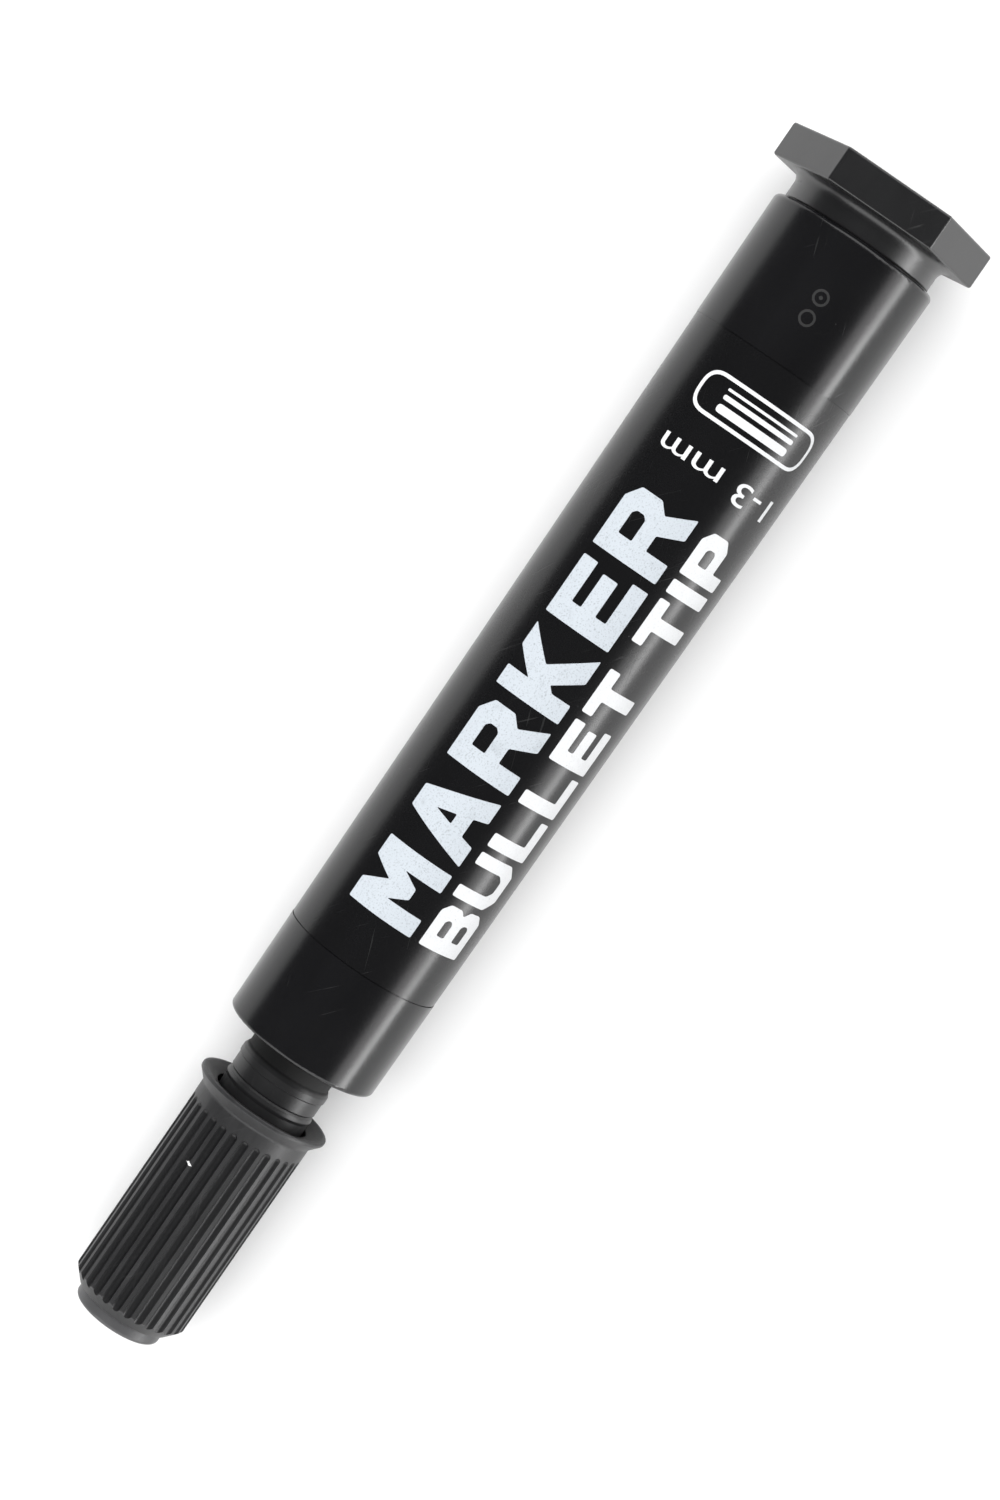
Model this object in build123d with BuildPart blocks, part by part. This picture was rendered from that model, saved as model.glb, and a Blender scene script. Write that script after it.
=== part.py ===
from build123d import *
import os

# A felt tip marker, in millimetres, lying on one flat of its hexagonal end plug.
# +X runs from the end plug to the cap's tip and +Z is up. The origin is at the middle of the
# length, under the axis, on the plane that the flat rests on.

# Driving dimensions
total_length = 137.0
head_flats = 20.2             # across the flats of the end plug's head
head_thick = 3.7
boss_length = 2.8             # round boss between the head and the barrel
barrel_length = 96.75
neck_length = 6.5             # bare neck between the barrel and the cap
wall = 1.25

# Radii
barrel_rear_r = 9.2
barrel_front_r = 8.48
boss_r = 8.36
neck_r = 4.95
rim_r = 7.42
cap_r = 6.43
disc_r = 4.86
nib_r = 2.25
reservoir_r = 6.7

# Fits and thin films
slip = 0.05                   # radial gap between pieces that are pushed together for good
seal_gap = 0.08               # radial gap between the cap's seal and the neck
film_thick = 0.1
film_gap = 0.02               # between a film and the surface it's wrapped on

# Flutes of the cap
flute_count = 30
flute_r = 0.48                # radius of the cutter that leaves each groove
flute_out = 0.12              # how far the cutter's centre stands outside the cap

# Stations along X
head_face_x = -total_length / 2
head_back_x = head_face_x + head_thick
barrel_rear_x = head_back_x + boss_length
barrel_front_x = barrel_rear_x + barrel_length
cap_mouth_x = barrel_front_x + neck_length
cap_tip_x = total_length / 2
nib_tip_x = 60.0
nose_x = 54.0                 # front end of the nib's holder
nib_tail_x = 23.0
reservoir_rear_x = -58.0
reservoir_front_x = 29.6
label_rear_x = -48.0
label_front_x = 23.4
recess_depth = 0.16           # shallow step all round the barrel that the label lies in
recess_rear_x = label_rear_x - 0.1
recess_front_x = label_front_x + 0.1

spine_z = head_flats / 2
spine = Axis((0, 0, spine_z), (1, 0, 0))
side = Plane(origin=(0, 0, spine_z), x_dir=(1, 0, 0), z_dir=(0, -1, 0))


def across(x):
    """Plane square to the axis at a station, with its own x along +Y and its own y along +Z."""
    return Plane(origin=(x, 0, spine_z), x_dir=(0, 1, 0), z_dir=(1, 0, 0))


def barrel_r(x):
    """Outside radius of the tapered barrel at a station."""
    share = (x - barrel_rear_x) / barrel_length
    return barrel_rear_r + share * (barrel_front_r - barrel_rear_r)


os.makedirs("parts", exist_ok=True)

# Barrel: a tapered tube, closed at the front by a flat shoulder with a round hole, with six
# ribs inside that hold the reservoir on the axis.
shoulder_thick = 2.0
shoulder_x = barrel_front_x - shoulder_thick
spigot_length = 9.0           # how far the end plug reaches into the barrel
bore_rear_r = barrel_rear_r - wall
bore_front_r = barrel_front_r - wall
collar_bore_r = 5.25
rib_count = 6
rib_thick = 0.9
rib_tip_r = 6.95
rib_root_r = bore_rear_r + 0.2
rib_rear_x = barrel_rear_x + spigot_length + 1
rib_front_x = reservoir_front_x - 1

with BuildPart() as barrel:
    with BuildSketch(side):
        with BuildLine():
            FilletPolyline(
                (barrel_rear_x, bore_rear_r),
                (barrel_rear_x, barrel_rear_r),
                (recess_rear_x, barrel_r(recess_rear_x)),
                (recess_rear_x, barrel_r(recess_rear_x) - recess_depth),
                (recess_front_x, barrel_r(recess_front_x) - recess_depth),
                (recess_front_x, barrel_r(recess_front_x)),
                (barrel_front_x, barrel_front_r),
                (barrel_front_x, collar_bore_r),
                (shoulder_x, collar_bore_r),
                (shoulder_x, bore_front_r),
                (rib_rear_x, bore_rear_r),
                radius=(0.2, 0.6, 0, 0, 0, 0, 0.45, 0.2, 0, 0.6, 0),
                close=True,
            )
        make_face()
    revolve(axis=spine)
    with BuildSketch(across(rib_rear_x)):
        with PolarLocations((rib_tip_r + rib_root_r) / 2, rib_count):
            Rectangle(rib_root_r - rib_tip_r, rib_thick)
    extrude(amount=rib_front_x - rib_rear_x)

barrel.part.label = "barrel"
export_step(barrel.part, "parts/barrel.step")

# Label film: one turn of printed film in the barrel's recess, its two ends butted underneath.
label_floor = film_gap - recess_depth
label_top = label_floor + film_thick
seam_width = 0.6

with BuildPart() as label_film:
    with BuildSketch(side):
        with BuildLine():
            Polyline(
                (label_rear_x, barrel_r(label_rear_x) + label_floor),
                (label_rear_x, barrel_r(label_rear_x) + label_top),
                (label_front_x, barrel_r(label_front_x) + label_top),
                (label_front_x, barrel_r(label_front_x) + label_floor),
                close=True,
            )
        make_face()
    revolve(axis=spine)
    with BuildSketch(across(label_rear_x)):
        with Locations((0, -barrel_rear_r)):
            Rectangle(seam_width, barrel_rear_r)
    extrude(amount=label_front_x - label_rear_x, mode=Mode.SUBTRACT)

label_film.part.label = "label_film"
export_step(label_film.part, "parts/label_film.step")

# End plug: a hexagonal head with a shallow dish in its face, a round boss that meets the
# barrel's end, and a hollow spigot inside the barrel. Crossed webs stop the reservoir.
spigot_r = bore_rear_r - slip
spigot_bore_r = 6.95
spigot_end_x = barrel_rear_x + spigot_length
plug_floor_x = head_face_x + 2.0
boss_fillet = 1.1
under_head_r = 9.7            # still inside the flats, so this ring sinks into the head
dish_r = 7.0
dish_depth = 0.4
gate_r = 0.8
web_thick = 1.0
corner_fillet = 0.35
face_fillet = 0.25

with BuildPart() as end_plug:
    with BuildSketch(across(head_face_x)):
        RegularPolygon(head_flats / 2, 6, major_radius=False)
    extrude(amount=head_thick)
    fillet(end_plug.edges().filter_by(Axis.X), corner_fillet)
    fillet(end_plug.faces().sort_by(Axis.X)[0].edges(), face_fillet)
    fillet(end_plug.faces().sort_by(Axis.X)[-1].edges(), face_fillet)
    with BuildSketch(side):
        with BuildLine():
            FilletPolyline(
                (head_face_x + 1, 0),
                (head_face_x + 1, under_head_r),
                (head_back_x, under_head_r),
                (head_back_x, boss_r),
                (barrel_rear_x, boss_r),
                (barrel_rear_x, spigot_r),
                (spigot_end_x, spigot_r),
                (spigot_end_x, 0),
                radius=(0, 0, 0, boss_fillet, 0.25, 0, 0.4, 0),
                close=True,
            )
        make_face()
    revolve(axis=spine)
    with BuildSketch(side):
        with BuildLine():
            FilletPolyline(
                (plug_floor_x, 0),
                (plug_floor_x, spigot_bore_r),
                (spigot_end_x, spigot_bore_r),
                (spigot_end_x, 0),
                radius=(0, 0.8, 0, 0),
                close=True,
            )
        make_face()
    revolve(axis=spine, mode=Mode.SUBTRACT)
    with BuildSketch(across(plug_floor_x)):
        Rectangle(2 * spigot_bore_r, web_thick)
        Rectangle(web_thick, 2 * spigot_bore_r)
    extrude(amount=reservoir_rear_x - slip - plug_floor_x)
    with BuildSketch(across(head_face_x)):
        Circle(dish_r)
        Circle(gate_r, mode=Mode.SUBTRACT)
    extrude(amount=dish_depth, mode=Mode.SUBTRACT)

end_plug.part.label = "end_plug"
export_step(end_plug.part, "parts/end_plug.step")

# Front section: a flange behind the barrel's shoulder, a groove and a bevelled collar in front
# of it, the bare neck with a fine groove, a bead and one short key rib, and the nose that holds
# the nib.
flange_thick = 1.7
flange_x = shoulder_x - flange_thick
flange_r = bore_front_r - 0.1
spigot_front_r = collar_bore_r - slip
groove_r = 4.72
groove_end_x = barrel_front_x + 2.1
collar_x = groove_end_x + 0.6
collar_end_x = collar_x + 0.7
collar_r = neck_r + 0.11
cut_x = 39.9                  # middle of the fine groove
cut_half = 0.2                # half the fine groove's width
cut_depth = 0.15
bead_x = 40.5                 # middle of the bead
bead_half = 0.35
bead_r = neck_r + 0.12
neck_end_x = 46.0
cone_end_x = 47.5
nose_root_r = 3.75
nose_tip_r = 3.1
nib_bore_r = nib_r + slip
holder_bore_r = 3.4
holder_x = 45.0
key_angle = 56.0              # degrees up from +Y round the axis
key_x = collar_end_x + 0.05
key_length = 1.95
key_width = 0.55
key_height = 0.22
front_rounding = (0, 0.3, 0.7, 0, 0, 0, 0.2, 0.2, 0.05, 0, 0, 0, 0, 0, 0.25, 0, 0.5, 0.6, 0.4, 0.1, 0, 0)

with BuildPart() as front_section:
    with BuildSketch(side):
        with BuildLine():
            FilletPolyline(
                (flange_x, holder_bore_r),
                (flange_x, flange_r),
                (shoulder_x - slip, flange_r),
                (shoulder_x - slip, spigot_front_r),
                (barrel_front_x, spigot_front_r),
                (barrel_front_x, groove_r),
                (groove_end_x, groove_r),
                (collar_x, collar_r),
                (collar_end_x, collar_r),
                (collar_end_x + 0.1, neck_r),
                (cut_x - cut_half, neck_r),
                (cut_x, neck_r - cut_depth),
                (cut_x + cut_half, neck_r),
                (bead_x - bead_half, neck_r),
                (bead_x, bead_r),
                (bead_x + bead_half, neck_r),
                (neck_end_x, neck_r),
                (cone_end_x, nose_root_r),
                (nose_x, nose_tip_r),
                (nose_x, nib_bore_r),
                (holder_x, nib_bore_r),
                (holder_x - 1, holder_bore_r),
                radius=front_rounding,
                close=True,
            )
        make_face()
    revolve(axis=spine)
    key_plane = across(key_x).rotated((0, 0, key_angle))
    with BuildSketch(key_plane):
        with Locations((neck_r, 0)):
            Rectangle(2 * key_height, key_width)
    extrude(amount=key_length)

front_section.part.label = "front_section"
export_step(front_section.part, "parts/front_section.step")

# Nib: a pressed fibre rod with a rounded bullet point, its tail pushed into the reservoir.
bullet_x = 56.2
bullet_r = 1.0
tail_r = 1.75

with BuildPart() as nib:
    with BuildSketch(side):
        with BuildLine():
            FilletPolyline(
                (nib_tail_x, 0),
                (nib_tail_x, tail_r),
                (nib_tail_x + 0.8, nib_r),
                (bullet_x, nib_r),
                (nib_tip_x, bullet_r),
                (nib_tip_x, 0),
                radius=(0, 0, 0, 1.5, 0.9, 0),
                close=True,
            )
        make_face()
    revolve(axis=spine)

nib.part.label = "nib"
export_step(nib.part, "parts/nib.step")

# Ink reservoir: a rod of bonded fibre with a socket for the nib's tail.
socket_floor_x = nib_tail_x - 0.1

with BuildPart() as ink_reservoir:
    with BuildSketch(side):
        with BuildLine():
            FilletPolyline(
                (reservoir_rear_x, 0),
                (reservoir_rear_x, reservoir_r),
                (reservoir_front_x, reservoir_r),
                (reservoir_front_x, nib_r + slip),
                (socket_floor_x, nib_r + slip),
                (socket_floor_x, 0),
                radius=(0, 0.3, 0.3, 0, 0, 0),
                close=True,
            )
        make_face()
    revolve(axis=spine)

ink_reservoir.part.label = "ink_reservoir"
export_step(ink_reservoir.part, "parts/ink_reservoir.step")

# Reservoir film: the clear wrapper that keeps the fibres together, open at both ends.
film_inner_r = reservoir_r + film_gap
film_margin = 1.0

with BuildPart() as reservoir_film:
    with BuildSketch(across(reservoir_rear_x + film_margin)):
        Circle(film_inner_r + film_thick)
        Circle(film_inner_r, mode=Mode.SUBTRACT)
    extrude(amount=reservoir_front_x - reservoir_rear_x - 2 * film_margin)

reservoir_film.part.label = "reservoir_film"
export_step(reservoir_film.part, "parts/reservoir_film.step")

# Cap sleeve: a round shell with a thin flared rim round a dished mouth, straight grip flutes,
# and a chamfered end with a hole for the liner's disc.
sleeve_bore_r = 5.55
mouth_r = 5.3
dish_rim_r = rim_r - 0.4
mouth_dish = 0.6              # how far the dished mouth sinks into the cap
mouth_end_x = cap_mouth_x + 1.5
rim_thick = 0.4
flare_end_x = cap_mouth_x + 1.55
end_wall_x = 64.5
chamfer_x = 65.7
sleeve_end_x = 67.05
sleeve_end_r = 5.3
end_hole_r = disc_r + slip
flute_x = cap_mouth_x + 3.45

with BuildPart() as cap_sleeve:
    with BuildSketch(side):
        with BuildLine():
            FilletPolyline(
                (cap_mouth_x + mouth_dish, mouth_r),
                (cap_mouth_x, dish_rim_r),
                (cap_mouth_x, rim_r),
                (cap_mouth_x + rim_thick, rim_r),
                (flare_end_x, cap_r),
                (chamfer_x, cap_r),
                (sleeve_end_x, sleeve_end_r),
                (sleeve_end_x, end_hole_r),
                (end_wall_x, end_hole_r),
                (end_wall_x, sleeve_bore_r),
                (mouth_end_x + 0.25, sleeve_bore_r),
                (mouth_end_x, mouth_r),
                radius=(0.15, 0.15, 0.18, 0.18, 0.5, 0.2, 0.15, 0.1, 0, 0.3, 0, 0),
                close=True,
            )
        make_face()
    revolve(axis=spine)
    with BuildSketch(across(flute_x)):
        with PolarLocations(cap_r + flute_out, flute_count):
            Circle(flute_r)
    extrude(amount=cap_tip_x - flute_x, mode=Mode.SUBTRACT)
    with Locations(across(flute_x)):
        with PolarLocations(cap_r + flute_out, flute_count):
            Sphere(flute_r, mode=Mode.SUBTRACT)

cap_sleeve.part.label = "cap_sleeve"
export_step(cap_sleeve.part, "parts/cap_sleeve.step")

# Cap liner: the inner cup whose lip seals on the neck. Its closed end passes through the
# sleeve's hole and shows as a round disc.
liner_mouth_x = cap_mouth_x + 2.05
lip_length = 4.2
tip_thick = 1.2
lip_r = neck_r + seal_gap
liner_outer_r = sleeve_bore_r - slip
cup_r = 4.15
cup_outer_r = cup_r + 0.8
cup_floor_x = cap_tip_x - tip_thick
shoulder_length = 2.0

with BuildPart() as cap_liner:
    with BuildSketch(side):
        with BuildLine():
            FilletPolyline(
                (liner_mouth_x, lip_r),
                (liner_mouth_x, liner_outer_r),
                (liner_mouth_x + lip_length, liner_outer_r),
                (liner_mouth_x + lip_length + 0.6, cup_outer_r),
                (end_wall_x - shoulder_length, cup_outer_r),
                (end_wall_x - shoulder_length, liner_outer_r),
                (end_wall_x - slip, liner_outer_r),
                (end_wall_x - slip, disc_r),
                (cap_tip_x, disc_r),
                (cap_tip_x, 0),
                (cup_floor_x, 0),
                (cup_floor_x, cup_r),
                (liner_mouth_x + lip_length + 0.8, cup_r),
                (liner_mouth_x + lip_length - 0.2, lip_r),
                radius=(0.15, 0.15, 0, 0, 0, 0.2, 0.35, 0, 0.45, 0, 0, 0.8, 0, 0),
                close=True,
            )
        make_face()
    revolve(axis=spine)

cap_liner.part.label = "cap_liner"
export_step(cap_liner.part, "parts/cap_liner.step")
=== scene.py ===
import math

import bmesh
import bpy
from bpy.props import (
    FloatProperty,
    FloatVectorProperty,
    PointerProperty,
    StringProperty,
)
from mathutils import Matrix, Vector
from mathutils.bvhtree import BVHTree


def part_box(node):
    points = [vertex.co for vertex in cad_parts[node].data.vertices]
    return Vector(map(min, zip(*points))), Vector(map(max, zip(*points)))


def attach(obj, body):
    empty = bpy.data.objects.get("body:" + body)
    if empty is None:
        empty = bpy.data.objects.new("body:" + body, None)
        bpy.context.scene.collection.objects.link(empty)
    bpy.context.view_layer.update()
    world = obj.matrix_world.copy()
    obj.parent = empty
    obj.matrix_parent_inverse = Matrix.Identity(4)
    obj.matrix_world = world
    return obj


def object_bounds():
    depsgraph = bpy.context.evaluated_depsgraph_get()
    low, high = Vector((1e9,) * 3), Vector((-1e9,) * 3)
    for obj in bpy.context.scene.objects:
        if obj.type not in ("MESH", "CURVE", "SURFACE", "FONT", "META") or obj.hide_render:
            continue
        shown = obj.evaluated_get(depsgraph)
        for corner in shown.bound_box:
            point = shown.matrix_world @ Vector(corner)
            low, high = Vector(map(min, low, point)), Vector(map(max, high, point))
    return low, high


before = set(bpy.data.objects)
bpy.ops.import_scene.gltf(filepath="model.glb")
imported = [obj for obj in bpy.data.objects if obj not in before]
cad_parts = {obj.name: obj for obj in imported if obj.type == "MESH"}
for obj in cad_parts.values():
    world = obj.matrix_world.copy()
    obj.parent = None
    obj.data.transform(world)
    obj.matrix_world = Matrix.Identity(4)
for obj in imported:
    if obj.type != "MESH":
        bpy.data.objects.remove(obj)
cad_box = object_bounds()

bl_info = {
    "name": "Felt tip marker",
    "version": (1, 0, 0),
    "blender": (4, 5, 0),
    "location": "View3D > Sidebar > Marker",
    "description": "Finishes a felt tip marker: plastics, printed label, felt nib, and a small studio",
    "category": "Object",
}

MM = 0.001
MARKER = "marker"             # the body that the printed and raised pieces ride on

# How a radius is measured: this many looks towards the axis, each from this far out
LOOKS_ROUND = 90
LOOK_FROM = 50 * MM

# Artwork is cut into strips this wide before it is bent round the marker
CUT_SPACING = 0.3 * MM
SHARP_EDGE = math.radians(40)

# The small raised mark near the barrel's rear end: two rings, one with a dot in it
MARK_FROM_REAR = 6.6 * MM
MARK_SPACING = 2.3 * MM
MARK_HEIGHT = 0.05 * MM
RING_RADII = (0.85 * MM, 0.6 * MM)
DOT_RADIUS = 0.2 * MM

# Lettering: space between block letters and rounding of their corners, in letter units
WORD_GAP, WORD_CORNER = 1.1, 0.16
LINE_GAP, LINE_CORNER = 1.0, 0.3
SIGN_LINE = 0.38 * MM
INK_DEPTH = 1.4               # the ink's thickness over its height, so that it sinks in the film

# Where the floor touches: the front edge of the end plug's head, and the barrel's front rim
HEAD_THICKNESS = 3.7 * MM
RIM_ROUNDING = 0.3 * MM

# Greys of the finer finishes, with painted shade for the neck's groove and partly painted light for the
# cap's flute tops
SCUFF_GREY = 0.35
# wear and painted light: the grey of the cap's flute tops, partly rubbed plastic and partly standing in for
# shade in the grooves
RIDGE_WEAR_AND_LIGHT_GREY = 0.14
CHIP_GREY = 0.75
# painted shade: the near black that stands in for the shadow in the neck's groove
GROOVE_PAINTED_SHADE = 0.0005
MARK_GREY = 0.02


# ---------------------------------------------------------------- places taken from the frame


def spine_height():
    """Height of the marker's axis, half way up the hexagonal head."""
    low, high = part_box("end_plug")
    return (low.z + high.z) / 2


def radius_near(node, x):
    """A node's largest radius about the axis at a station along X, met by looking in from outside."""
    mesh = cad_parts[node].data
    surface = BVHTree.FromPolygons([v.co for v in mesh.vertices], [p.vertices for p in mesh.polygons])
    middle = Vector((x, 0, spine_height()))
    radii = []
    for step in range(LOOKS_ROUND):
        angle = math.tau * step / LOOKS_ROUND
        out = Vector((0, math.sin(angle), math.cos(angle)))
        met = surface.ray_cast(middle + out * LOOK_FROM, -out, LOOK_FROM)
        if met[0] is not None:
            radii.append(LOOK_FROM - met[3])
    return max(radii)


class Cone:
    """The outer surface of a tapered round node, which flat artwork is wrapped round."""

    def __init__(self, node, rear_x, front_x):
        self.rear_x = rear_x
        self.front_x = front_x
        self.rear_r = radius_near(node, rear_x)
        self.front_r = radius_near(node, front_x)
        self.axis = spine_height()

    def radius(self, x):
        share = (x - self.rear_x) / (self.front_x - self.rear_x)
        return self.rear_r + share * (self.front_r - self.rear_r)

    def point(self, x, angle, lift):
        """The point at a station and at an angle from the top towards +Y, lifted off the surface."""
        r = self.radius(x) + lift
        return Vector((x, r * math.sin(angle), self.axis + r * math.cos(angle)))


# ---------------------------------------------------------------- shader nodes


class Wire:
    """An output of a shader node. Arithmetic on it adds Math nodes to the same material."""

    def __init__(self, tree, socket):
        self.tree = tree
        self.socket = socket

    def maths(self, operation, *terms):
        node = self.tree.nodes.new("ShaderNodeMath")
        node.operation = operation
        for place, term in zip(node.inputs, terms):
            if isinstance(term, Wire):
                self.tree.links.new(term.socket, place)
            else:
                place.default_value = term
        return Wire(self.tree, node.outputs[0])

    def __add__(self, other):
        return self.maths("ADD", self, other)

    def __radd__(self, other):
        return self.maths("ADD", other, self)

    def __sub__(self, other):
        return self.maths("SUBTRACT", self, other)

    def __rsub__(self, other):
        return self.maths("SUBTRACT", other, self)

    def __mul__(self, other):
        return self.maths("MULTIPLY", self, other)

    def __rmul__(self, other):
        return self.maths("MULTIPLY", other, self)

    def __pow__(self, other):
        return self.maths("POWER", self, other)

    def __abs__(self):
        return self.maths("ABSOLUTE", self)


class Finish:
    """A material being made: a Principled shader and the nodes that vary it over the surface."""

    def __init__(self, name, constants):
        self.material = bpy.data.materials.new(name)
        self.material.use_nodes = True
        self.tree = self.material.node_tree
        self.tree.nodes.clear()
        self.shader = self.tree.nodes.new("ShaderNodeBsdfPrincipled")
        end = self.tree.nodes.new("ShaderNodeOutputMaterial")
        self.tree.links.new(self.shader.outputs[0], end.inputs["Surface"])
        for socket, value in constants.items():
            self.shader.inputs[socket].default_value = value
        metres = self.node("ShaderNodeTexCoord", output="Object")
        self.place = self.vector("SCALE", metres, Scale=1 / MM)

    def node(self, kind, settings=None, sockets=None, output=0):
        """Add a node: its own settings first, then its sockets, each a value or a Wire."""
        made = self.tree.nodes.new(kind)
        for name, value in (settings or {}).items():
            setattr(made, name, value)
        for name, value in (sockets or {}).items():
            if isinstance(value, Wire):
                self.tree.links.new(value.socket, made.inputs[name])
            else:
                made.inputs[name].default_value = value
        return Wire(self.tree, made.outputs[output])

    def vector(self, operation, first, second=None, **sockets):
        """Vector Math on one or two vectors."""
        if second is not None:
            sockets[1] = second
        return self.node("ShaderNodeVectorMath", {"operation": operation}, {0: first, **sockets})

    def feed(self, socket, wire):
        """Let a wire drive one of the shader's own sockets."""
        self.tree.links.new(wire.socket, self.shader.inputs[socket])

    def fed(self, socket):
        """The wire that drives one of the shader's sockets now."""
        return Wire(self.tree, self.shader.inputs[socket].links[0].from_socket)

    def grain(self, size, stretch=(1.0, 1.0, 1.0), detail=2.0, shift=0.0):
        """Smooth noise, 0 to 1, with lumps about size millimetres across, longer along stretch."""
        squeeze = tuple(1 / s for s in stretch)
        place = self.vector("MULTIPLY", self.place, squeeze)
        place = self.vector("ADD", place, (shift, shift, shift))
        return self.node(
            "ShaderNodeTexNoise",
            {"noise_dimensions": "3D"},
            {"Vector": place, "Scale": 1 / size, "Detail": detail, "Roughness": 0.55},
        )

    def specks(self, spacing, size, share, shift=0.0):
        """Small round spots: 1 in the middle of a spot, on a share of the cells."""
        place = self.vector("ADD", self.place, (shift, shift, shift))
        sockets = {"Vector": place, "Scale": 1 / spacing}
        near = self.node("ShaderNodeTexVoronoi", {}, sockets, "Distance")
        lot = self.node("ShaderNodeTexVoronoi", {}, sockets, "Color")
        lot = self.node("ShaderNodeSeparateColor", {}, {"Color": lot}, "Red")
        spot = self.ease(near, size / spacing, size / spacing * 0.4)
        return spot * lot.maths("LESS_THAN", lot, share)

    def ease(self, value, start, end):
        """0 before start, 1 after end and a smooth step between them; start may be the larger."""
        low, high = sorted((start, end))
        step = self.node(
            "ShaderNodeMapRange",
            {"interpolation_type": "SMOOTHSTEP", "clamp": True},
            {"Value": value, "From Min": low, "From Max": high},
        )
        return step if start < end else 1 - step

    def blend(self, share, first, second):
        """Mix two colours, each a colour or a Wire, by a share."""
        return self.node(
            "ShaderNodeMix",
            {"data_type": "RGBA"},
            {0: share, 6: first, 7: second},
            output=2,
        )

    def raise_by(self, height):
        """Bump the surface by a height in millimetres."""
        sockets = {"Height": height, "Strength": 1.0, "Distance": MM}
        self.feed("Normal", self.node("ShaderNodeBump", {}, sockets))

    def cylinder(self):
        """Place as station along X, angle from the top towards +Y, and radius, in millimetres."""
        split = {axis: self.node("ShaderNodeSeparateXYZ", {}, {0: self.place}, axis) for axis in "XYZ"}
        up = split["Z"] - spine_height() / MM
        angle = up.maths("ARCTAN2", split["Y"], up)
        radius = (split["Y"] ** 2.0 + up * up) ** 0.5
        return split["X"], angle, radius


def grey(value, tint=(1.0, 1.0, 1.0)):
    """A linear colour of one brightness with a slight tint."""
    return (value * tint[0], value * tint[1], value * tint[2], 1.0)


# ---------------------------------------------------------------- plastics, film, ink and felt


def moulded(name, colour, roughness, peel, scuffs, sheen=0.42):
    """Black moulded plastic: clouded gloss, fine peel, hair scratches and a little dust."""
    finish = Finish(name, {"Specular IOR Level": sheen, "IOR": 1.5})
    clouds = finish.grain(5.0, (2.5, 1.0, 1.0), 3.0)
    fine = finish.grain(0.25, detail=3.0, shift=7.0)
    hairs = hair_scratches(finish, scuffs)
    dust = finish.specks(1.7, 0.07, 0.25) * 0.6
    tone = finish.blend(clouds, (*colour, 1.0), (*(c * 1.5 for c in colour), 1.0))
    tone = finish.blend(dust * 0.22 + hairs * 0.05, tone, grey(SCUFF_GREY))
    finish.feed("Base Color", tone)
    finish.feed("Roughness", roughness + (clouds - 0.5) * 0.16 + hairs * 0.2 + fine * 0.05 + dust * 0.3)
    finish.raise_by(fine * peel + clouds * peel * 2.0 - hairs * 0.002)
    return finish


def hair_scratches(finish, amount):
    """Short fine scratches in patches, in two slanting directions over the round surface."""
    station, angle, radius = finish.cylinder()
    across = angle * radius
    patches = finish.ease(finish.grain(7.0, shift=5.0), 0.48, 0.62)
    total = 0.0
    for slant, shift in ((0.35, 3.0), (-0.9, 17.0)):
        along = station + across * slant
        over = across - station * slant
        line = finish.node("ShaderNodeCombineXYZ", {}, {"X": along * 0.12, "Y": over * 2.6, "Z": shift})
        sockets = {"Vector": line, "Scale": 1.0, "Detail": 2.0, "Roughness": 0.5}
        streak = finish.node("ShaderNodeTexNoise", {"noise_dimensions": "3D"}, sockets)
        total = finish.ease(streak, 0.66, 0.72) + total
    return total * patches * amount


def label_film_finish(settings):
    """Glossy black film, slightly wavy where it was wrapped, with its own haze and scratches."""
    finish = Finish("label_film", {"Specular IOR Level": 0.42, "IOR": 1.5})
    waves = finish.grain(9.0, (2.0, 1.0, 1.0), 1.0)
    fine = finish.grain(0.4, detail=2.0, shift=2.0)
    hairs = hair_scratches(finish, settings.scuffs)
    dust = finish.specks(2.1, 0.08, 0.2, shift=4.0) * 0.6
    colour = tuple(settings.film_colour)
    tone = finish.blend(hairs * 0.06 + dust * 0.25, (*colour, 1.0), grey(SCUFF_GREY))
    finish.feed("Base Color", tone)
    finish.feed("Roughness", settings.film_roughness + fine * 0.05 + (waves - 0.5) * 0.08 + hairs * 0.2)
    finish.raise_by(waves * 0.03 + fine * 0.0012 - hairs * 0.002)
    return finish


def print_ink(name, colour, speckle):
    """Screen printed ink: chalky, with pinholes and thin spots where the black shows through."""
    finish = Finish(name, {"Specular IOR Level": 0.4, "IOR": 1.48})
    cloud = finish.grain(1.6, detail=3.0)
    pins = finish.grain(0.16, detail=2.0, shift=9.0)
    thin = finish.ease(pins, 0.52, 0.72) * speckle + finish.ease(cloud, 0.55, 0.8) * speckle * 0.4
    thin = thin + finish.specks(1.1, 0.09, 0.3, shift=6.0) * 0.5
    bright = (*colour, 1.0)
    finish.feed("Base Color", finish.blend(thin, bright, (*(c * 0.35 for c in colour), 1.0)))
    finish.feed("Roughness", 0.42 + pins * 0.2)
    finish.raise_by(pins * 0.006)
    return finish


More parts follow.
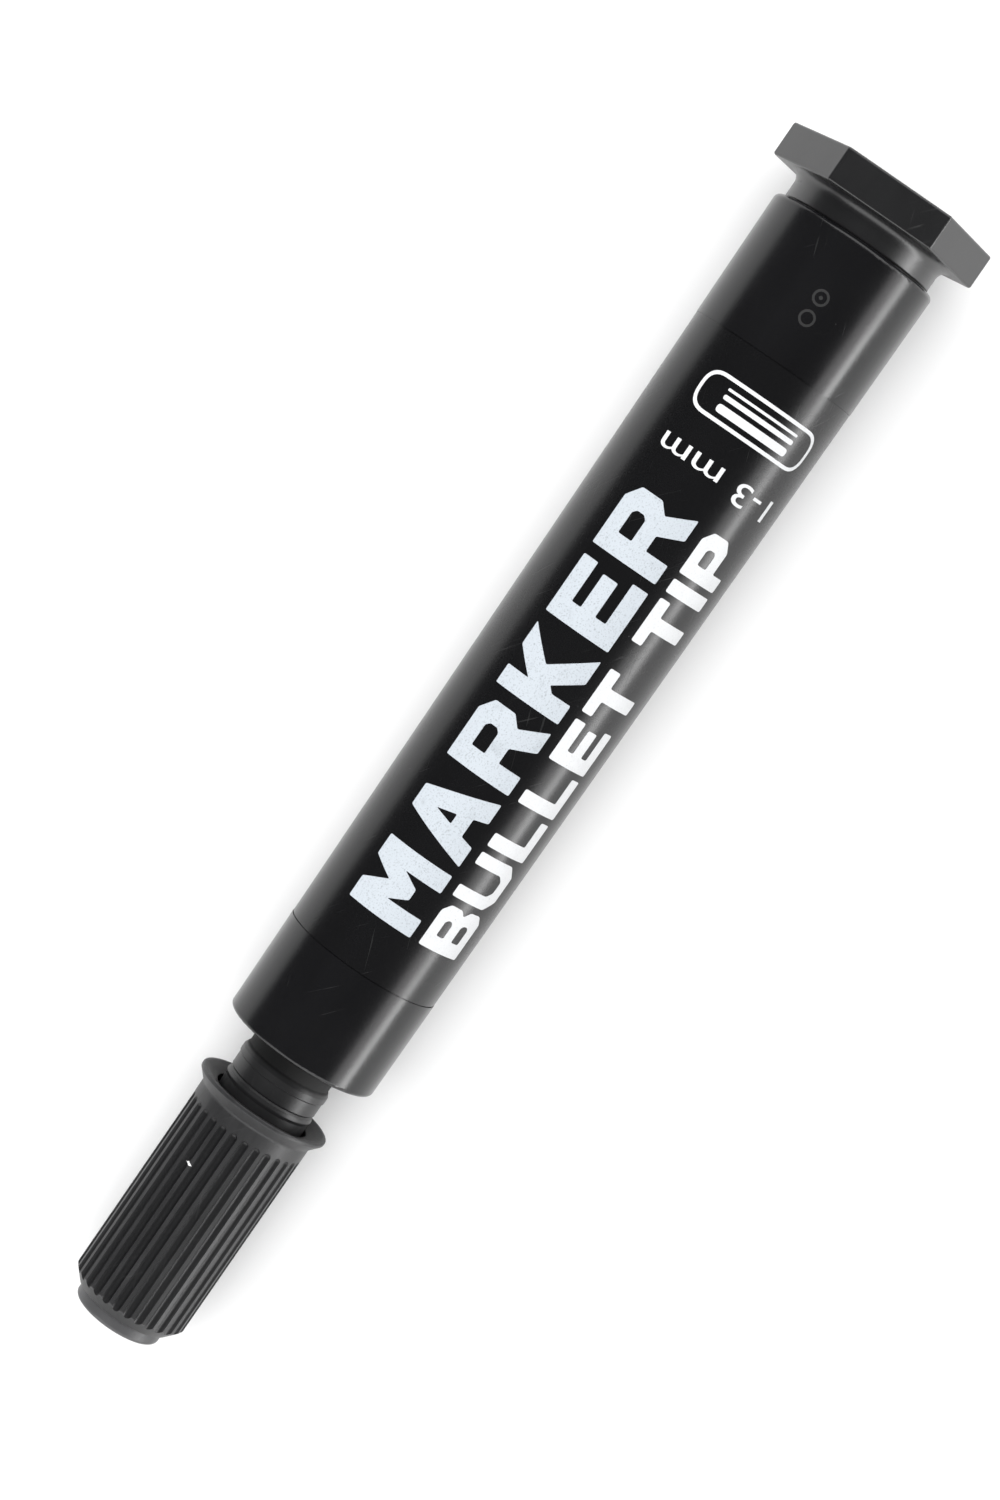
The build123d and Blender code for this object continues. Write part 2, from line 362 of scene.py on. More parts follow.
def cap_finish(settings):
    """Matt black plastic, worn grey and smooth along the tops of the flutes; the grey tops are also painted
    light, standing in for the shade in the grooves between them.
    """
    finish = moulded("cap_plastic", tuple(settings.colour), settings.roughness, 0.006, 0.6)
    station, angle, radius = finish.cylinder()
    top = radius_near("cap_sleeve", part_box("cap_sleeve")[0].x + 8 * MM) / MM
    ridge = finish.ease(radius, top - 0.28, top - 0.02)
    patchy = finish.ease(finish.grain(1.2, (4.0, 1.0, 1.0), 3.0, shift=1.0), 0.35, 0.65)
    # wear and painted light: the flute tops are made lighter than the grooves, partly as rubbed plastic and
    # partly in place of the grooves' shade
    rubbed_and_lit = ridge * (0.6 + 0.4 * patchy)
    nick = chip(finish, station, angle, settings)
    ridge_wear_and_light = grey(RIDGE_WEAR_AND_LIGHT_GREY, (1.0, 1.0, 1.03))
    tone = finish.blend(rubbed_and_lit * settings.wear_and_painted_light, finish.fed("Base Color"), ridge_wear_and_light)
    finish.feed("Base Color", finish.blend(nick, tone, grey(CHIP_GREY)))
    return finish


def neck_finish(settings):
    """Duller black plastic, with painted shade darkening the groove under the barrel's shoulder."""
    finish = moulded("neck_plastic", tuple(settings.neck_colour), settings.neck_roughness,
                     settings.peel * 2, settings.scuffs)
    station, _, radius = finish.cylinder()
    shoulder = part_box("barrel")[1].x / MM
    # painted shade: the groove under the shoulder is darkened in the colour, standing in for its shadow
    painted_groove_shade = finish.ease(radius, 4.95, 4.75) * finish.ease(station, shoulder + 3.0, shoulder + 2.6)
    shade_painted_tone = finish.blend(painted_groove_shade * 0.85, finish.fed("Base Color"), grey(GROOVE_PAINTED_SHADE))
    finish.feed("Base Color", shade_painted_tone)
    finish.feed("Roughness", finish.fed("Roughness") + painted_groove_shade * 0.4)
    return finish


def chip(finish, station, angle, settings):
    """A small pale chip in the side of the cap."""
    chips_per_mm, chips_per_radian = 6.0, 12.0
    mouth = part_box("cap_sleeve")[0].x / MM
    along = (station - (mouth + settings.chip_station / MM)) * chips_per_mm
    around = (angle - settings.chip_angle) * chips_per_radian
    ragged = (finish.grain(0.4, detail=2.0) - 0.5) * 0.9
    return finish.ease((along * along + around * around) ** 0.5 + ragged, 1.0, 0.8)


def felt_finish(name, colour, fibre):
    """Pressed felt soaked in ink: fibres along the marker, matt, with a few paler strands."""
    finish = Finish(name, {"Specular IOR Level": 0.25, "Sheen Weight": 0.12, "Sheen Roughness": 0.5})
    strands = finish.grain(fibre, (12.0, 1.0, 1.0), 3.0)
    fuzz = finish.grain(fibre * 0.6, detail=4.0, shift=5.0)
    pale = finish.ease(strands, 0.52, 0.72) * 0.8
    finish.feed("Base Color", finish.blend(pale, (*colour, 1.0), (*(c * 3.0 + 0.025 for c in colour), 1.0)))
    finish.feed("Roughness", 0.8 + fuzz * 0.2)
    finish.raise_by(strands * 0.2 + fuzz * 0.06)
    return finish


def wrapper_finish():
    """Thin clear film round the fibre rod, hazy and faintly wrinkled."""
    finish = Finish("wrapper_film", {"IOR": 1.5, "Base Color": (0.5, 0.5, 0.53, 1.0), "Alpha": 0.35})
    wrinkles = finish.grain(3.0, (1.0, 3.0, 3.0), 2.0)
    finish.feed("Roughness", 0.12 + wrinkles * 0.15)
    finish.raise_by(wrinkles * 0.03)
    return finish


def paper_finish(colour):
    """Pale studio paper with a barely visible tooth."""
    finish = Finish("studio_paper", {"Specular IOR Level": 0.1})
    tooth = finish.grain(0.8, detail=3.0)
    clouds = finish.grain(60.0, detail=2.0)
    shade = (*(c * 0.97 for c in colour), 1.0)
    finish.feed("Base Color", finish.blend(clouds, (*colour, 1.0), shade))
    finish.feed("Roughness", 0.9 + tooth * 0.1)
    finish.raise_by(tooth * 0.01)
    return finish


def dress(node, finish):
    """Give a CAD node a finish in place of its packed one."""
    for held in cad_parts[node].material_slots:
        held.material = finish.material


# ---------------------------------------------------------------- flat artwork


def rounded(corners, radius, steps=3):
    """A closed outline with each corner cut back by an arc, smaller where a side is short."""
    made = []
    count = len(corners)
    for i, here in enumerate(corners):
        here = Vector(here)
        back = Vector(corners[i - 1]) - here
        ahead = Vector(corners[(i + 1) % count]) - here
        reach = min(radius, back.length * 0.45, ahead.length * 0.45)
        start = here + back.normalized() * reach
        end = here + ahead.normalized() * reach
        for step in range(steps + 1):
            t = step / steps
            made.append(start * (1 - t) ** 2 + here * 2 * t * (1 - t) + end * t * t)
    return made


def box_outline(left, bottom, width, height):
    """The corners of an upright rectangle."""
    right, top = left + width, bottom + height
    return [(left, bottom), (right, bottom), (right, top), (left, top)]


def circle(middle, radius, steps=32):
    """A closed round outline with its middle on the first axis."""
    turns = (math.tau * step / steps for step in range(steps))
    return [(middle + radius * math.cos(turn), radius * math.sin(turn)) for turn in turns]


def filled(outlines):
    """A flat mesh of closed outlines, where one inside another is a hole."""
    curve = bpy.data.curves.new("outline", "CURVE")
    curve.dimensions = "2D"
    curve.fill_mode = "BOTH"
    for outline in outlines:
        spline = curve.splines.new("POLY")
        spline.points.add(len(outline) - 1)
        for point, corner in zip(spline.points, outline):
            point.co = (corner[0], corner[1], 0.0, 1.0)
        spline.use_cyclic_u = True
    return flat_mesh(curve)


def lettering(words):
    """A flat mesh of words in a plain sans serif."""
    curve = bpy.data.curves.new("words", "FONT")
    curve.body = words
    curve.resolution_u = 6
    return flat_mesh(curve)


def flat_mesh(curve):
    """The filled mesh of a flat curve or text, which is then removed."""
    holder = bpy.data.objects.new("artwork", curve)
    mesh = bpy.data.meshes.new_from_object(holder)
    bpy.data.objects.remove(holder)
    return mesh


def sized(mesh, width, height):
    """Stretch a flat mesh to a width and height, with its lower left corner at the origin."""
    xs = [v.co.x for v in mesh.vertices]
    ys = [v.co.y for v in mesh.vertices]
    grow = (width / (max(xs) - min(xs)), height / (max(ys) - min(ys)))
    for vertex in mesh.vertices:
        vertex.co.x = (vertex.co.x - min(xs)) * grow[0]
        vertex.co.y = (vertex.co.y - min(ys)) * grow[1]
    return mesh


def wrapped(name, mesh, across, place, thickness):
    """Bend flat artwork round a surface and give it thickness.

    across is the artwork's own axis (0 or 1) that runs round the marker, and place turns a
    point of the artwork into a point of the surface.
    """
    made = bmesh.new()
    made.from_mesh(mesh)
    bmesh.ops.remove_doubles(made, verts=made.verts, dist=1e-7)
    direction = Vector((1, 0, 0)) if across == 0 else Vector((0, 1, 0))
    spread = [v.co[across] for v in made.verts]
    cut = min(spread) + CUT_SPACING / 2
    while cut < max(spread):
        everything = made.verts[:] + made.edges[:] + made.faces[:]
        bmesh.ops.bisect_plane(made, geom=everything, plane_co=direction * cut, plane_no=direction)
        cut += CUT_SPACING
    for vertex in made.verts:
        vertex.co = place(vertex.co.x, vertex.co.y)
    bmesh.ops.recalc_face_normals(made, faces=made.faces)
    axis = spine_height()
    face = made.faces[0]
    middle = face.calc_center_median()
    if face.normal.dot(Vector((0, middle.y, middle.z - axis))) < 0:
        bmesh.ops.reverse_faces(made, faces=made.faces)
    bmesh.ops.solidify(made, geom=made.faces[:], thickness=thickness)
    bmesh.ops.recalc_face_normals(made, faces=made.faces)
    made.to_mesh(mesh)
    made.free()
    mesh.shade_smooth()
    mesh.set_sharp_from_angle(angle=SHARP_EDGE)
    piece = bpy.data.objects.new(name, mesh)
    bpy.context.scene.collection.objects.link(piece)
    return piece


# Block letters 7.6 high, each a list of outlines with any holes last.
LETTERS = {
    "M": [[(0, 0), (0, 7.6), (2.3, 7.6), (3.6, 5.0), (4.9, 7.6), (7.2, 7.6), (7.2, 0),
           (5.2, 0), (5.2, 4.1), (4.2, 2.2), (3.0, 2.2), (2.0, 4.1), (2.0, 0)]],
    "A": [[(0, 0), (2.4, 7.6), (4.8, 7.6), (7.2, 0), (5.0, 0), (4.6, 1.5), (2.6, 1.5), (2.2, 0)],
          [(3.05, 3.1), (4.15, 3.1), (3.6, 5.2)]],
    "R": [[(0, 0), (0, 7.6), (5.4, 7.6), (6.9, 6.4), (6.9, 4.0), (5.8, 3.0), (7.2, 0),
           (4.9, 0), (3.8, 2.6), (2.1, 2.6), (2.1, 0)],
          [(2.1, 4.3), (4.4, 4.3), (4.8, 4.7), (4.8, 5.5), (4.4, 5.9), (2.1, 5.9)]],
    "K": [[(0, 0), (0, 7.6), (2.1, 7.6), (2.1, 5.0), (4.4, 7.6), (7.0, 7.6), (4.1, 4.3),
           (7.2, 0), (4.6, 0), (2.7, 2.8), (2.1, 2.2), (2.1, 0)]],
    "E": [[(0, 0), (0, 7.6), (6.5, 7.6), (6.5, 5.8), (2.1, 5.8), (2.1, 4.7), (5.9, 4.7),
           (5.9, 3.0), (2.1, 3.0), (2.1, 1.8), (6.7, 1.8), (6.7, 0)]],
    "B": [[(0, 0), (0, 7.6), (5.6, 7.6), (6.8, 6.6), (6.8, 4.7), (6.0, 3.9), (7.0, 3.0),
           (7.0, 1.1), (5.8, 0)],
          [(2.1, 4.7), (4.3, 4.7), (4.7, 5.1), (4.7, 5.6), (4.3, 6.0), (2.1, 6.0)],
          [(2.1, 1.6), (4.5, 1.6), (4.9, 2.0), (4.9, 2.7), (4.5, 3.1), (2.1, 3.1)]],
    "U": [[(0, 7.6), (1.9, 7.6), (1.9, 2.6), (2.7, 1.7), (4.5, 1.7), (5.3, 2.6), (5.3, 7.6),
           (7.2, 7.6), (7.2, 1.6), (5.6, 0), (1.6, 0), (0, 1.6)]],
    "L": [[(0, 0), (0, 7.6), (2.1, 7.6), (2.1, 1.8), (6.2, 1.8), (6.2, 0)]],
    "T": [[(2.4, 0), (2.4, 5.8), (0, 5.8), (0, 7.6), (6.9, 7.6), (6.9, 5.8), (4.5, 5.8), (4.5, 0)]],
    "I": [[(0, 0), (0, 7.6), (2.1, 7.6), (2.1, 0)]],
    "P": [[(0, 0), (0, 7.6), (5.4, 7.6), (6.9, 6.4), (6.9, 3.7), (5.4, 2.5), (2.1, 2.5), (2.1, 0)],
          [(2.1, 4.2), (4.3, 4.2), (4.7, 4.6), (4.7, 5.5), (4.3, 5.9), (2.1, 5.9)]],
    " ": [[(0, 0), (2.6, 0)]],
}


def block_letters(words, gap, corner):
    """The outlines of words in block letters, in letter units."""
    outlines = []
    left = 0.0
    for letter in words:
        for outline in LETTERS[letter]:
            if letter != " ":
                outlines.append(rounded([(x + left, y) for x, y in outline], corner))
        left += max(x for x, _ in LETTERS[letter][0]) + gap
    return outlines


def stroke_emblem(width, height, line):
    """A rounded frame round three strokes, thin to thick, as a sign for line width."""
    outlines = [
        rounded(box_outline(0, 0, width, height), height * 0.45, 8),
        rounded(box_outline(line, line, width - 2 * line, height - 2 * line), height * 0.36, 8),
    ]
    side = width * 0.2
    for share, thick in ((0.26, 0.06), (0.44, 0.11), (0.7, 0.19)):
        bar = box_outline(side, height * share - height * thick / 2, width - 2 * side, height * thick)
        outlines.append(rounded(bar, height * thick * 0.5, 4))
    return outlines


# ---------------------------------------------------------------- sizes and colours


class PlasticSettings(bpy.types.PropertyGroup):
    """Colours and gloss of the moulded body parts"""

    barrel_colour: FloatVectorProperty(
        name="Barrel colour", description="Colour of the barrel's plastic",
        subtype="COLOR", default=(0.004, 0.004, 0.0045), min=0, max=1)
    barrel_roughness: FloatProperty(
        name="Barrel roughness", description="How far the barrel's gloss spreads",
        subtype="FACTOR", default=0.2, min=0, max=1)
    plug_colour: FloatVectorProperty(
        name="Plug colour", description="Colour of the hexagonal end plug",
        subtype="COLOR", default=(0.0065, 0.0065, 0.007), min=0, max=1)
    plug_roughness: FloatProperty(
        name="Plug roughness", description="How far the end plug's gloss spreads",
        subtype="FACTOR", default=0.3, min=0, max=1)
    neck_colour: FloatVectorProperty(
        name="Neck colour", description="Colour of the neck and the nib's holder",
        subtype="COLOR", default=(0.009, 0.009, 0.0095), min=0, max=1)
    neck_roughness: FloatProperty(
        name="Neck roughness", description="How far the neck's gloss spreads",
        subtype="FACTOR", default=0.36, min=0, max=1)
    peel: FloatProperty(
        name="Peel", description="Height of the fine unevenness of the moulded surface, in millimetres",
        default=0.003, min=0, max=0.05)
    scuffs: FloatProperty(
        name="Scuffs", description="How strong the hair scratches are",
        subtype="FACTOR", default=0.5, min=0, max=1)


class LabelSettings(bpy.types.PropertyGroup):
    """The wrapped film and what is printed on it"""

    film_colour: FloatVectorProperty(
        name="Film colour", description="Ground colour of the wrapped film",
        subtype="COLOR", default=(0.004, 0.004, 0.0045), min=0, max=1)
    film_roughness: FloatProperty(
        name="Film roughness", description="How far the film's gloss spreads",
        subtype="FACTOR", default=0.24, min=0, max=1)
    scuffs: FloatProperty(
        name="Scuffs", description="How strong the film's hair scratches are",
        subtype="FACTOR", default=0.5, min=0, max=1)
    word: StringProperty(
        name="Word", description="The large word, in the block letters that are drawn here",
        default="MARKER")
    line: StringProperty(
        name="Line", description="The smaller words beside it, in the same letters",
        default="BULLET TIP")
    widths: StringProperty(
        name="Line width", description="The line widths that the nib draws", default="1-3 mm")
    big_colour: FloatVectorProperty(
        name="Word colour", description="Ink of the large word",
        subtype="COLOR", default=(0.49, 0.53, 0.57), min=0, max=1)
    small_colour: FloatVectorProperty(
        name="Line colour", description="Ink of the smaller words and the sign",
        subtype="COLOR", default=(0.68, 0.69, 0.7), min=0, max=1)
    words_start: FloatProperty(
        name="Words start", description="From the film's front end back to where the words start",
        subtype="DISTANCE", default=5.6 * MM, min=0)
    words_length: FloatProperty(
        name="Words length", description="Length of both lines of words",
        subtype="DISTANCE", default=49.2 * MM, min=0)
    word_angles: FloatVectorProperty(
        name="Word angles", description="Tops and feet of the large word, from the top towards +Y",
        subtype="EULER", size=2, default=(math.radians(-33.3), math.radians(16.5)))
    line_angles: FloatVectorProperty(
        name="Line angles", description="Tops and feet of the smaller words, from the top towards +Y",
        subtype="EULER", size=2, default=(math.radians(24.1), math.radians(59.9)))
    band_angles: FloatVectorProperty(
        name="Band angles", description="End and start of the line width and the sign",
        subtype="EULER", size=2, default=(math.radians(-33.0), math.radians(57.5)))
    widths_span: FloatVectorProperty(
        name="Line width span", description="Feet and tops of the line width, from the film's rear end",
        subtype="XYZ", size=2, default=(11.0 * MM, 13.4 * MM))
    sign_span: FloatVectorProperty(
        name="Sign span", description="Bottom and top of the sign, from the film's rear end",
        subtype="XYZ", size=2, default=(3.4 * MM, 7.9 * MM))
    ink_height: FloatProperty(
        name="Ink height", description="How far the ink stands off the film",
        subtype="DISTANCE", default=0.02 * MM, min=0)


class CapSettings(bpy.types.PropertyGroup):
    """The fluted cap"""

    colour: FloatVectorProperty(
        name="Colour", description="Colour of the cap's plastic",
        subtype="COLOR", default=(0.004, 0.004, 0.0045), min=0, max=1)
    roughness: FloatProperty(
        name="Roughness", description="How far the cap's gloss spreads",
        subtype="FACTOR", default=0.42, min=0, max=1)
    wear_and_painted_light: FloatProperty(
        name="Wear", description="How much the flutes have rubbed grey",
        subtype="FACTOR", default=0.13, min=0, max=1)
    liner_colour: FloatVectorProperty(
        name="Liner colour", description="Colour of the inner cup, seen as the disc at the tip",
        subtype="COLOR", default=(0.05, 0.05, 0.052), min=0, max=1)
    chip_station: FloatProperty(
        name="Chip station", description="From the cap's mouth to the small chip",
        subtype="DISTANCE", default=8.3 * MM)
    chip_angle: FloatProperty(
        name="Chip angle", description="The chip's angle from the top towards +Y",
        subtype="ANGLE", default=math.radians(-27))


class FeltSettings(bpy.types.PropertyGroup):
    """The nib and the ink reservoir"""

    ink_colour: FloatVectorProperty(
        name="Ink colour", description="Colour of the ink in the felt",
        subtype="COLOR", default=(0.006, 0.006, 0.009), min=0, max=1)
    fibre: FloatProperty(
        name="Fibre", description="Width of the felt's fibre bundles, in millimetres",
        default=0.12, min=0.01, max=1)


class StageSettings(bpy.types.PropertyGroup):
    """The floor, the lights and the camera"""

    paper_colour: FloatVectorProperty(
        name="Paper colour", description="Colour of the floor",
        subtype="COLOR", default=(0.9, 0.9, 0.9), min=0, max=1)
    floor_size: FloatProperty(
        name="Floor size", description="Side of the square floor",
        subtype="DISTANCE", default=6.0, min=0.5)
    room_light: FloatProperty(
        name="Room light", description="Brightness of the room all round", default=0.06, min=0)
    key_light: FloatProperty(
        name="Key light", description="Brightness of the soft light from above", default=0.9, min=0)
    fill_light: FloatProperty(
        name="Fill light", description="Brightness of the even light from all round above",
        default=4.2, min=0)
    strip_light: FloatProperty(
        name="Strip light", description="Power of the low strip light beside the marker",
        default=3.9, min=0)
    end_light: FloatProperty(
        name="End light", description="Power of the lights beyond the two ends", default=0.8, min=0)
    lens: FloatProperty(
        name="Lens", description="Focal length on a 36 mm sensor, in millimetres",
        default=77.76, min=10, max=300)
    camera_distance: FloatProperty(
        name="Camera distance", description="From the lens to the point it aims at",
        subtype="DISTANCE", default=322.2 * MM, min=0.05)
    aim: FloatVectorProperty(
        name="Aim", description="Where the camera aims, along and across from the marker's middle",
        subtype="XYZ", size=2, default=(-1.53 * MM, -0.56 * MM))
    roll: FloatProperty(
        name="Roll", description="How far the marker is turned in the picture",
        subtype="ANGLE", default=math.radians(55.43))
    pitch: FloatProperty(
        name="Pitch", description="Lean of the camera along the marker, away from straight down",
        subtype="ANGLE", default=math.radians(6.12))
    lean: FloatProperty(
        name="Lean", description="Lean of the camera across the marker",
        subtype="ANGLE", default=math.radians(-1.08))


# ---------------------------------------------------------------- operators


class MARKER_OT_barrel(bpy.types.Operator):
    """Give the barrel its glossy plastic and raise two small rings near its rear end"""

    bl_idname = "marker.barrel"
    bl_label = "Barrel"

    def execute(self, context):
        look = context.scene.marker_plastics
        finish = moulded("barrel_plastic", tuple(look.barrel_colour), look.barrel_roughness,
                         look.peel, look.scuffs)
        dress("barrel", finish)
        low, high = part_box("barrel")
        cone = Cone("barrel", low.x + 2 * MM, high.x - 2 * MM)
        outlines = []
        for middle, radii in ((0, (*RING_RADII, DOT_RADIUS)), (MARK_SPACING, RING_RADII)):
            for radius in radii:
                outlines.append(circle(middle, radius))
        mark_x = low.x + MARK_FROM_REAR
        mark = wrapped("mould_mark", filled(outlines), 1,
                       lambda u, v: cone.point(mark_x + u, v / cone.rear_r, 0), MARK_HEIGHT)
        raised = moulded("mould_mark_plastic", grey(MARK_GREY)[:3], 0.35, look.peel, 0)
        mark.data.materials.append(raised.material)
        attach(mark, MARKER)
        return {"FINISHED"}


class MARKER_OT_label(bpy.types.Operator):
    """Finish the wrapped film and print the words, the line width and the sign on it"""

    bl_idname = "marker.label"
    bl_label = "Label"

    def execute(self, context):
        look = context.scene.marker_label
        dress("label_film", label_film_finish(look))
        low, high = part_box("label_film")
        cone = Cone("label_film", low.x, high.x)
        big = print_ink("print_ink_large", tuple(look.big_colour), 0.5)
        small = print_ink("print_ink_small", tuple(look.small_colour), 0.15)

        def along(angles, start):
            """Words read towards the rear, with their tops at the smaller angle."""
            return lambda u, v: cone.point(
                start - u, angles[1] - v / (cone.radius(start - u) + look.ink_height), look.ink_height)

        def around(angles, feet):
            """A line that reads round the marker, with its tops towards the cap."""
            return lambda u, v: cone.point(
                feet + v, angles[1] - u / (cone.radius(feet) + look.ink_height), look.ink_height)

        def arc(angles, x):
            return (angles[1] - angles[0]) * cone.radius(x)

        start = high.x - look.words_start
        middle = start - look.words_length / 2
        word = filled(block_letters(look.word, WORD_GAP, WORD_CORNER))
        word = sized(word, look.words_length, arc(look.word_angles, middle))
        line = filled(block_letters(look.line, LINE_GAP, LINE_CORNER))
        line = sized(line, look.words_length, arc(look.line_angles, middle))
        widths_x = low.x + look.widths_span[0]
        widths = sized(lettering(look.widths), arc(look.band_angles, widths_x),
                       look.widths_span[1] - look.widths_span[0])
        sign_x = low.x + look.sign_span[0]
        sign = filled(stroke_emblem(arc(look.band_angles, sign_x),
                                    look.sign_span[1] - look.sign_span[0], SIGN_LINE))
        for name, art, across, place, ink in (
            ("print_word", word, 1, along(look.word_angles, start), big),
            ("print_line", line, 1, along(look.line_angles, start), small),
            ("print_widths", widths, 0, around(look.band_angles, widths_x), small),
            ("print_sign", sign, 0, around(look.band_angles, sign_x), small),
        ):
            piece = wrapped(name, art, across, place, look.ink_height * INK_DEPTH)
            piece.data.materials.clear()
            piece.data.materials.append(ink.material)
            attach(piece, MARKER)
        return {"FINISHED"}


class MARKER_OT_end_plug(bpy.types.Operator):
    """Finish the hexagonal end plug"""

    bl_idname = "marker.end_plug"
    bl_label = "End plug"

    def execute(self, context):
        look = context.scene.marker_plastics
        dress("end_plug", moulded("plug_plastic", tuple(look.plug_colour), look.plug_roughness,
                                  look.peel, look.scuffs, sheen=0.65))
        return {"FINISHED"}


class MARKER_OT_front(bpy.types.Operator):
    """Finish the neck and nib holder, the nib and the reservoir"""

    bl_idname = "marker.front"
    bl_label = "Neck and nib"

    def execute(self, context):
        look = context.scene.marker_plastics
        felt = context.scene.marker_felt
        dress("front_section", neck_finish(look))
        dress("nib", felt_finish("nib_felt", tuple(felt.ink_colour), felt.fibre))
        dress("ink_reservoir", felt_finish("reservoir_fibre", tuple(felt.ink_colour), felt.fibre * 3))
        dress("reservoir_film", wrapper_finish())
        return {"FINISHED"}


class MARKER_OT_cap(bpy.types.Operator):
    """Finish the fluted cap and its inner cup"""

    bl_idname = "marker.cap"
    bl_label = "Cap"

    def execute(self, context):
        look = context.scene.marker_cap
        dress("cap_sleeve", cap_finish(look))
        dress("cap_liner", moulded("liner_plastic", tuple(look.liner_colour), look.roughness, 0.008, 0.4))
        return {"FINISHED"}


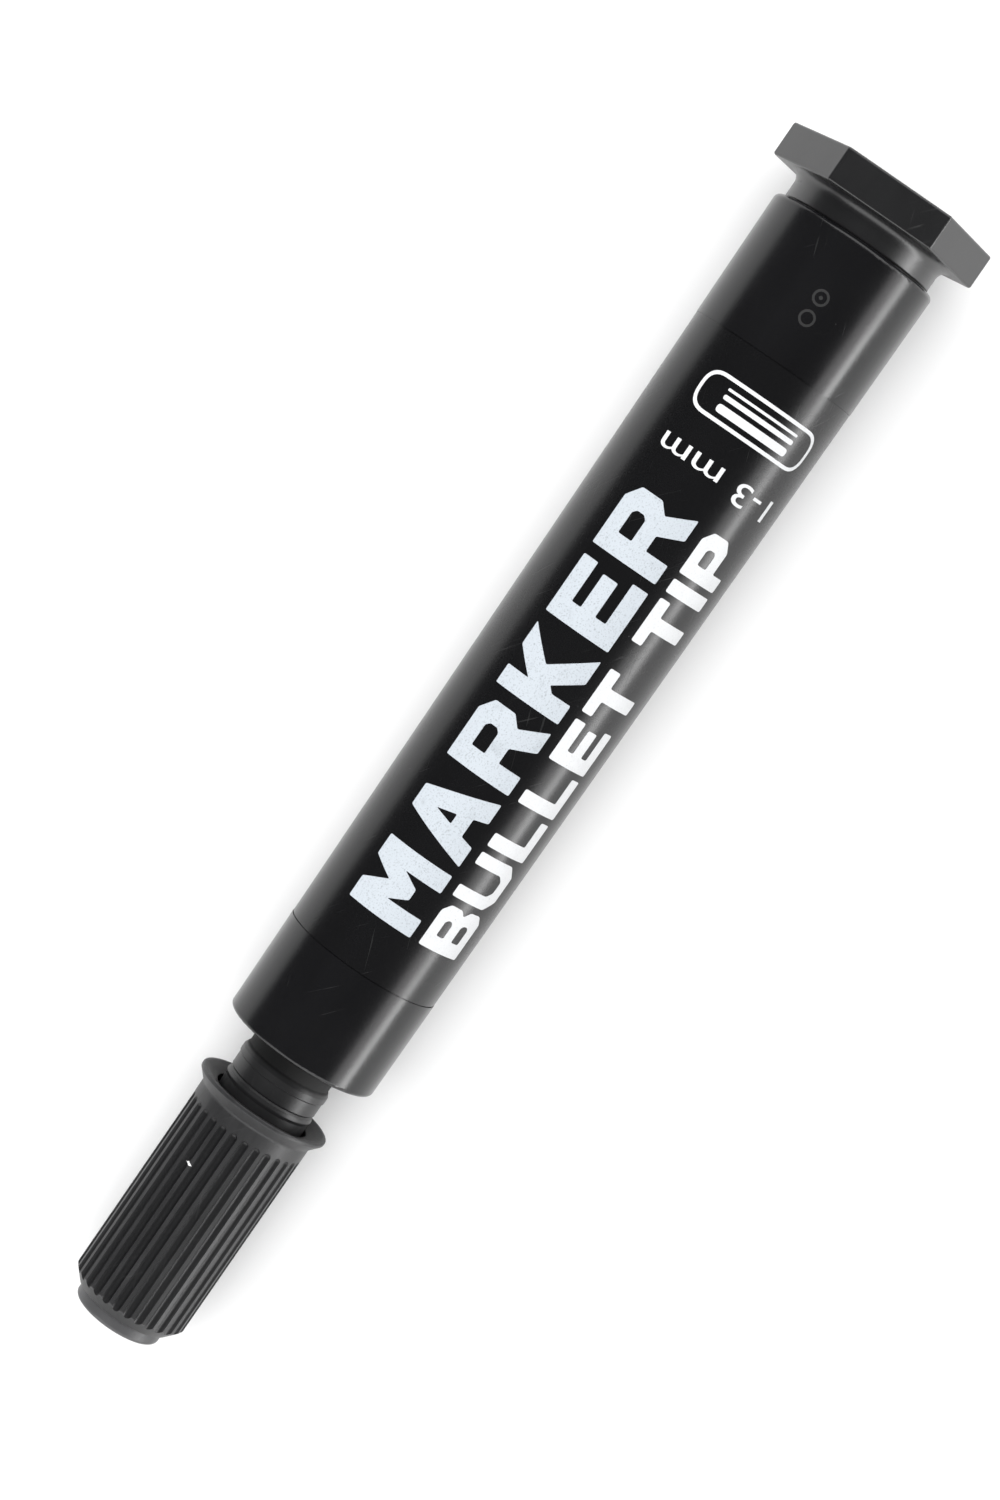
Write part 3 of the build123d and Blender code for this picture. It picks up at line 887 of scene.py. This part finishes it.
class MARKER_OT_stage(bpy.types.Operator):
    """Lay the floor under the marker, hang the lights and set the camera"""

    bl_idname = "marker.stage"
    bl_label = "Stage"

    def execute(self, context):
        look = context.scene.marker_stage
        scene = context.scene
        scene.view_settings.view_transform = "Standard"
        self.floor(scene, look)
        self.room(scene, look)
        self.lights(scene, look)
        self.camera(scene, look)
        return {"FINISHED"}

    def floor(self, scene, look):
        """A square of paper that touches the head's lower flat and the barrel's front rim."""
        head_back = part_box("end_plug")[0].x + HEAD_THICKNESS
        rim_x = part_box("barrel")[1].x - RIM_ROUNDING
        rise = spine_height() - radius_near("barrel", rim_x)
        tilt = math.atan2(rise, rim_x - head_back)
        grid = bmesh.new()
        bmesh.ops.create_grid(grid, x_segments=24, y_segments=24, size=look.floor_size / 2)
        mesh = bpy.data.meshes.new("floor")
        grid.to_mesh(mesh)
        grid.free()
        mesh.materials.append(paper_finish(tuple(look.paper_colour)).material)
        floor = bpy.data.objects.new("floor", mesh)
        floor.matrix_world = Matrix.Translation((head_back, 0, 0)) @ Matrix.Rotation(-tilt, 4, "Y")
        scene.collection.objects.link(floor)

    def room(self, scene, look):
        """An even pale room, dim enough to leave black plastic black."""
        world = bpy.data.worlds.new("room")
        world.use_nodes = True
        background = world.node_tree.nodes["Background"]
        background.inputs["Color"].default_value = (0.95, 0.97, 1.0, 1.0)
        background.inputs["Strength"].default_value = look.room_light
        scene.world = world

    def lights(self, scene, look):
        """A broad light from above that only shades, and strips that show in the gloss."""
        for name, strength, spread in (("key", look.key_light, 60), ("fill", look.fill_light, 150)):
            sun = bpy.data.lights.new(name, "SUN")
            sun.energy = strength
            sun.angle = math.radians(spread)
            shade = bpy.data.objects.new(name, sun)
            shade.rotation_euler = (math.radians(12), math.radians(-14), 0)
            shade.visible_glossy = False
            scene.collection.objects.link(shade)
        side = math.radians(90)
        self.strip(scene, "strip_low", look.strip_light, (5.0, 15.0), side, 0.9)
        self.strip(scene, "strip_high", look.strip_light * 0.22, (15.0, 31.0), side, 0.9)
        self.strip(scene, "strip_rear", look.end_light, (12.0, 50.0), math.radians(180), 0.7)
        self.strip(scene, "strip_front", look.end_light, (8.0, 50.0), 0.0, 0.7)

    def strip(self, scene, name, power, heights, heading, length):
        """A long light near the marker, between two heights in degrees, seen only in its gloss.

        heading is where it stands, as an angle round Z from the cap's end of the marker.
        """
        reach = 0.4
        bottom, top = (reach * math.tan(math.radians(a)) for a in heights)
        lamp = bpy.data.lights.new(name, "AREA")
        lamp.shape = "RECTANGLE"
        lamp.size = length
        lamp.size_y = top - bottom
        lamp.energy = power * 10 * lamp.size * lamp.size_y
        strip = bpy.data.objects.new(name, lamp)
        place = (reach * math.cos(heading), reach * math.sin(heading), (bottom + top) / 2 + spine_height())
        upright = Matrix.Rotation(math.radians(-90), 4, "X")
        facing = Matrix.Rotation(heading - math.radians(90), 4, "Z") @ upright
        strip.matrix_world = Matrix.Translation(place) @ facing
        strip.visible_camera = False
        strip.visible_diffuse = False
        scene.collection.objects.link(strip)

    def camera(self, scene, look):
        """Nearly overhead, rolled so that the marker lies on the picture's diagonal."""
        low, high = cad_box
        aim = Vector(((low.x + high.x) / 2 + look.aim[0], (low.y + high.y) / 2 + look.aim[1],
                      spine_height()))
        turn = (Matrix.Rotation(math.pi, 3, "Z") @ Matrix.Rotation(look.lean, 3, "X")
                @ Matrix.Rotation(look.pitch, 3, "Y") @ Matrix.Rotation(-look.roll, 3, "Z"))
        data = bpy.data.cameras.new("camera")
        data.lens = look.lens
        data.clip_start = 0.01
        camera = bpy.data.objects.new("camera", data)
        stand = aim + turn @ Vector((0, 0, look.camera_distance))
        camera.matrix_world = Matrix.Translation(stand) @ turn.to_4x4()
        scene.collection.objects.link(camera)
        scene.camera = camera


# ---------------------------------------------------------------- panel and registration


SETTINGS = {
    "marker_plastics": PlasticSettings,
    "marker_label": LabelSettings,
    "marker_cap": CapSettings,
    "marker_felt": FeltSettings,
    "marker_stage": StageSettings,
}
STEPS = (
    MARKER_OT_barrel,
    MARKER_OT_label,
    MARKER_OT_end_plug,
    MARKER_OT_front,
    MARKER_OT_cap,
    MARKER_OT_stage,
)


class MARKER_PT_panel(bpy.types.Panel):
    """Lists the marker's steps and their sizes and colours"""

    bl_idname = "MARKER_PT_panel"
    bl_label = "Felt tip marker"
    bl_space_type = "VIEW_3D"
    bl_region_type = "UI"
    bl_category = "Marker"

    def draw(self, context):
        for step in STEPS:
            self.layout.operator(step.bl_idname)
        for name, group in SETTINGS.items():
            box = self.layout.box()
            box.label(text=group.__doc__)
            for setting in group.__annotations__:
                box.prop(getattr(context.scene, name), setting)


def register():
    for group in (*SETTINGS.values(), *STEPS, MARKER_PT_panel):
        bpy.utils.register_class(group)
    for name, group in SETTINGS.items():
        setattr(bpy.types.Scene, name, PointerProperty(type=group))


def unregister():
    for name in SETTINGS:
        delattr(bpy.types.Scene, name)
    for group in reversed((*SETTINGS.values(), *STEPS, MARKER_PT_panel)):
        bpy.utils.unregister_class(group)


def main():
    register()
    for step in STEPS:
        group, name = step.bl_idname.split(".")
        getattr(getattr(bpy.ops, group), name)()


if __name__ == "__main__":
    main()
